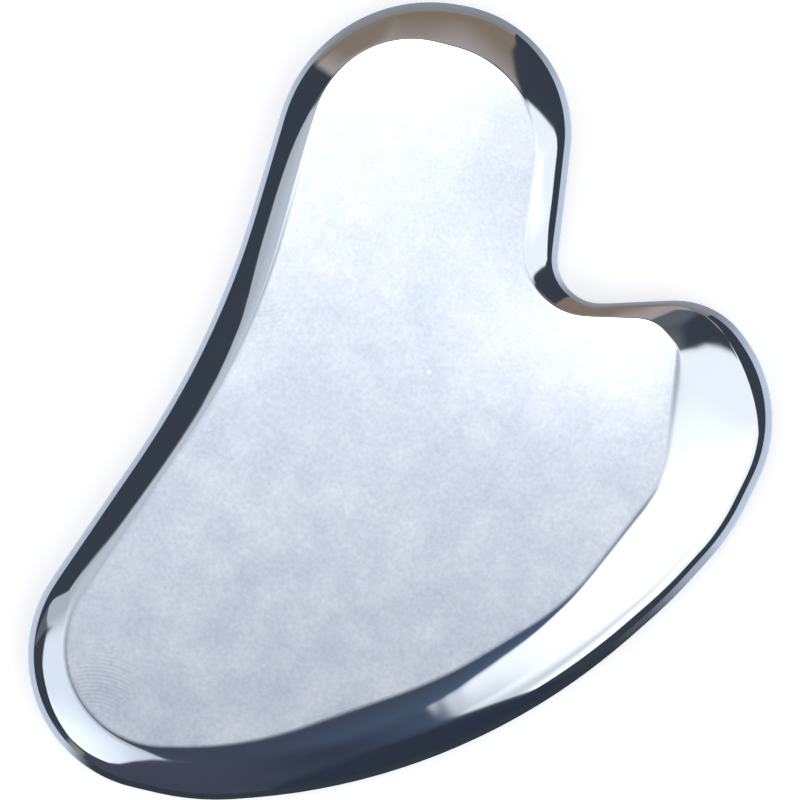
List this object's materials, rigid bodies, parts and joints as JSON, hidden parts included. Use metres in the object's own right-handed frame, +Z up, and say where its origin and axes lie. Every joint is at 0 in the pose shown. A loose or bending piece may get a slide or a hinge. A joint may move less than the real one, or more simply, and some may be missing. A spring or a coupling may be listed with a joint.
{
  "type": "gua sha scraper",
  "caption": "Flat heart-shaped steel massage scraper with bevelled, rounded edges, a narrow neck and a notch that fits the jaw line.",
  "frame": {"origin": "on the surface that the scraper lies on, under the middle of its bounding box", "axes": "+Y along the plate towards its neck, +X towards its broad lobe, +Z up out of the upper flat face"},
  "size_m": [0.0582, 0.0842, 0.006],
  "materials": {
    "polished_steel": "polished"
  },
  "bodies": {
    "root": {"scraper_plate": "polished_steel"}
  },
  "joints": []
}
